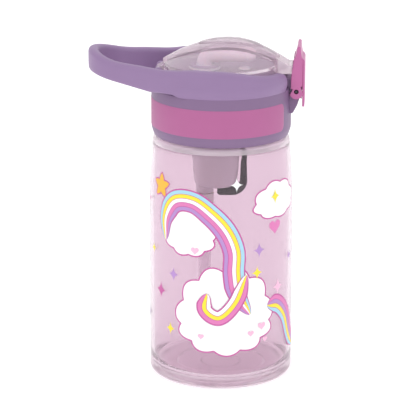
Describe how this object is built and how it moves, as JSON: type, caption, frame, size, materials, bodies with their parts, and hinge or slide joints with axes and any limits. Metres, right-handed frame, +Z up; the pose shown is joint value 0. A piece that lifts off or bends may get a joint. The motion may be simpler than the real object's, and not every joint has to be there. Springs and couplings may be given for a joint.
{
  "type": "kids water bottle",
  "caption": "Clear straw bottle with a screw cap, carrying loop, flip-up dome lid, push latch and a silicone spout that folds under the lid.",
  "frame": {"origin": "middle of the flat base, on the bottle's axis", "axes": "+Z up along the bottle's axis, +X towards the latch, -X towards the lid hinge and carrying loop"},
  "size_m": [0.1045, 0.07, 0.1662],
  "materials": {
    "clear_shell": "clear moulded copolyester, pink tint, polished",
    "clear_lid": "clear moulded copolyester, polished",
    "purple_plastic": "moulded polypropylene, satin",
    "soft_touch": "over-moulded soft-touch elastomer, matt",
    "pink_plastic": "moulded polypropylene, satin",
    "silicone": "moulded silicone, translucent",
    "charcoal_silicone": "moulded silicone, dark",
    "smoky_plastic": "smoky moulded copolyester",
    "steel": "stainless wire and pin"
  },
  "bodies": {
    "bottle": {"bottle_body": "clear_shell"},
    "neck_seal": {"neck_gasket": "silicone"},
    "cap": {"cap_collar": "purple_plastic", "grip_band": "soft_touch", "handle_ring": "purple_plastic", "lid_hinge_pin": "steel", "latch_pin": "steel", "latch_spring": "steel", "spout_base": "silicone", "spout_ring": "purple_plastic", "spout_stem": "clear_lid", "valve_cup": "smoky_plastic", "adaptor_o_ring": "silicone", "straw": "clear_lid", "straw_sleeve": "silicone", "vent_tube": "charcoal_silicone", "vent_valve": "silicone"},
    "lid": {"lid": "clear_lid"},
    "latch": {"latch": "pink_plastic"},
    "spout": {"mouthpiece": "silicone"}
  },
  "joints": [
    {"name": "cap_lift", "type": "slide", "parent": "bottle", "child": "neck_seal", "axis": [0, 0, 1], "range_m": [0, 0.00691]},
    {"name": "cap_turn", "type": "hinge", "parent": "neck_seal", "child": "cap", "pos_m": [0, 0, 0.137], "axis": [0, 0, 1], "range_deg": [0, 540]},
    {"name": "lid_hinge", "type": "hinge", "parent": "cap", "child": "lid", "pos_m": [-0.03, 0, 0.1512], "axis": [0, -1, 0], "range_deg": [0, 105]},
    {"name": "latch_pivot", "type": "hinge", "parent": "cap", "child": "latch", "pos_m": [0.0364, 0, 0.1429], "axis": [0, 1, 0], "range_deg": [0, 12], "stiffness_Nm_per_rad": 0.08, "deforming": ["latch_spring"]},
    {"name": "spout_fold", "type": "hinge", "parent": "cap", "child": "spout", "pos_m": [-0.008, 0, 0.1576], "axis": [0, -1, 0], "range_deg": [0, 70]}
  ],
  "couplings": [
    {"joint": "cap_lift", "follows": "cap_turn", "m_per_rad": 0.00073211},
    {"joint": "spout_fold", "follows": "lid_hinge", "ratio": 0.6666}
  ]
}
